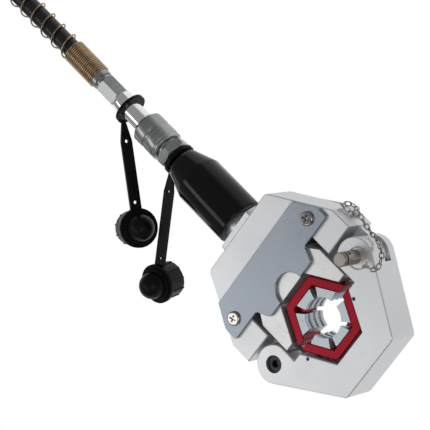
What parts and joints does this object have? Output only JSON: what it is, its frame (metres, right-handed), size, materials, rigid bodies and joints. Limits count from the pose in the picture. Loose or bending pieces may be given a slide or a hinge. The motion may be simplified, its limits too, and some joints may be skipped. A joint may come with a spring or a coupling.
{
  "type": "hydraulic hose crimping head",
  "caption": "Hydraulic crimping head with a swinging nose, a hexagonal two-part die set and a lock pin on a chain, on a short cylinder with quick coupler, dust caps and pump hose.",
  "frame": {"origin": "crimp axis at half the head's thickness, where the closed hexagon has its centre", "axes": "+X along the tool towards the nose, +Y towards the lock pin, +Z out of the front face, along the crimp axis"},
  "size_m": [0.7321, 0.2994, 0.0665],
  "materials": {
    "satin_steel": "satin nickel-plated steel, fine grain",
    "cover_steel": "blue-grey ground plate, straight grain",
    "bright_steel": "polished",
    "pusher_steel": "milled, worn bright",
    "dark_steel": "oiled black steel",
    "pin_steel": "turned, warm tint",
    "bronze": "oiled bronze",
    "die_red": "dark red anodised, semi gloss",
    "jaw_steel": "ground and hardened",
    "cylinder_black": "black gloss",
    "zinc": "zinc plated, turned",
    "chrome": "hard chrome",
    "spring_brass": "wire, dull brass",
    "rubber_black": "moulded, matt",
    "hose_rubber": "smooth cover, slight sheen"
  },
  "bodies": {
    "root": {"yoke_body": "satin_steel", "front_cover": "cover_steel", "rear_cover": "cover_steel", "front_cover_screws": "bright_steel", "rear_cover_screws": "bright_steel", "pivot_bush": "bronze", "lock_pin_bush": "bronze", "cylinder": "cylinder_black", "coupler_body": "zinc", "coupler_nipple": "chrome", "swivel_nut": "zinc", "hose_ferrule": "zinc", "hose_spring_guard": "spring_brass", "hose": "hose_rubber", "hose_coil": "hose_rubber", "hose_tail": "hose_rubber", "hose_end_fitting": "zinc", "chain_anchor_screw": "bright_steel", "retaining_chain": "bright_steel"},
    "clevis": {"clevis": "satin_steel", "pivot_bolt": "dark_steel", "die_retaining_screws": "dark_steel", "clevis_detent_pins": "dark_steel"},
    "ram": {"pusher": "pusher_steel", "pusher_detent_pins": "dark_steel", "ram_rod": "chrome", "piston_seal": "rubber_black", "return_spring": "dark_steel"},
    "rear_die_half": {"die_cage_rear": "die_red", "die_jaw_1": "jaw_steel", "die_jaw_2": "jaw_steel", "die_jaw_3": "jaw_steel", "jaw_screws_rear": "dark_steel"},
    "front_die_half": {"die_cage_front": "die_red", "die_jaw_4": "jaw_steel", "die_jaw_5": "jaw_steel", "die_jaw_6": "jaw_steel", "jaw_screws_front": "dark_steel"},
    "lock_pin": {"pull_pin": "pin_steel", "pin_split_ring": "bright_steel"},
    "coupler_sleeve": {"coupler_sleeve": "zinc"},
    "hose_side_cap": {"dust_cap_hose_side": "rubber_black"},
    "head_side_cap": {"dust_cap_head_side": "rubber_black"}
  },
  "joints": [
    {"name": "clevis_swing", "type": "hinge", "parent": "root", "child": "clevis", "pos_m": [-0.0125, -0.0604, 0], "axis": [0, 0, 1], "range_deg": [-40, 0], "deforming": ["retaining_chain"]},
    {"name": "ram_slide", "type": "slide", "parent": "root", "child": "ram", "axis": [1, 0, 0], "range_m": [0, 0.0082], "deforming": ["return_spring"]},
    {"name": "rear_die_slide", "type": "slide", "parent": "root", "child": "rear_die_half", "axis": [1, 0, 0], "range_m": [0, 0.0059]},
    {"name": "front_die_slide", "type": "slide", "parent": "clevis", "child": "front_die_half", "axis": [1, 0, 0], "range_m": [0, 0.0026]},
    {"name": "lock_pin_slide", "type": "slide", "parent": "clevis", "child": "lock_pin", "axis": [0, 0, 1], "range_m": [-0.0115, 0.014], "deforming": ["retaining_chain"]},
    {"name": "coupler_sleeve_turn", "type": "hinge", "parent": "root", "child": "coupler_sleeve", "pos_m": [-0.232, 0, 0], "axis": [1, 0, 0], "continuous": true},
    {"name": "hose_side_cap_turn", "type": "hinge", "parent": "root", "child": "hose_side_cap", "pos_m": [-0.2682, 0, 0], "axis": [1, 0, 0], "continuous": true},
    {"name": "head_side_cap_turn", "type": "hinge", "parent": "root", "child": "head_side_cap", "pos_m": [-0.2012, 0, 0], "axis": [1, 0, 0], "continuous": true}
  ],
  "couplings": [
    {"joint": "rear_die_slide", "follows": "ram_slide", "ratio": 0.7195},
    {"joint": "front_die_slide", "follows": "ram_slide", "ratio": 0.317}
  ]
}
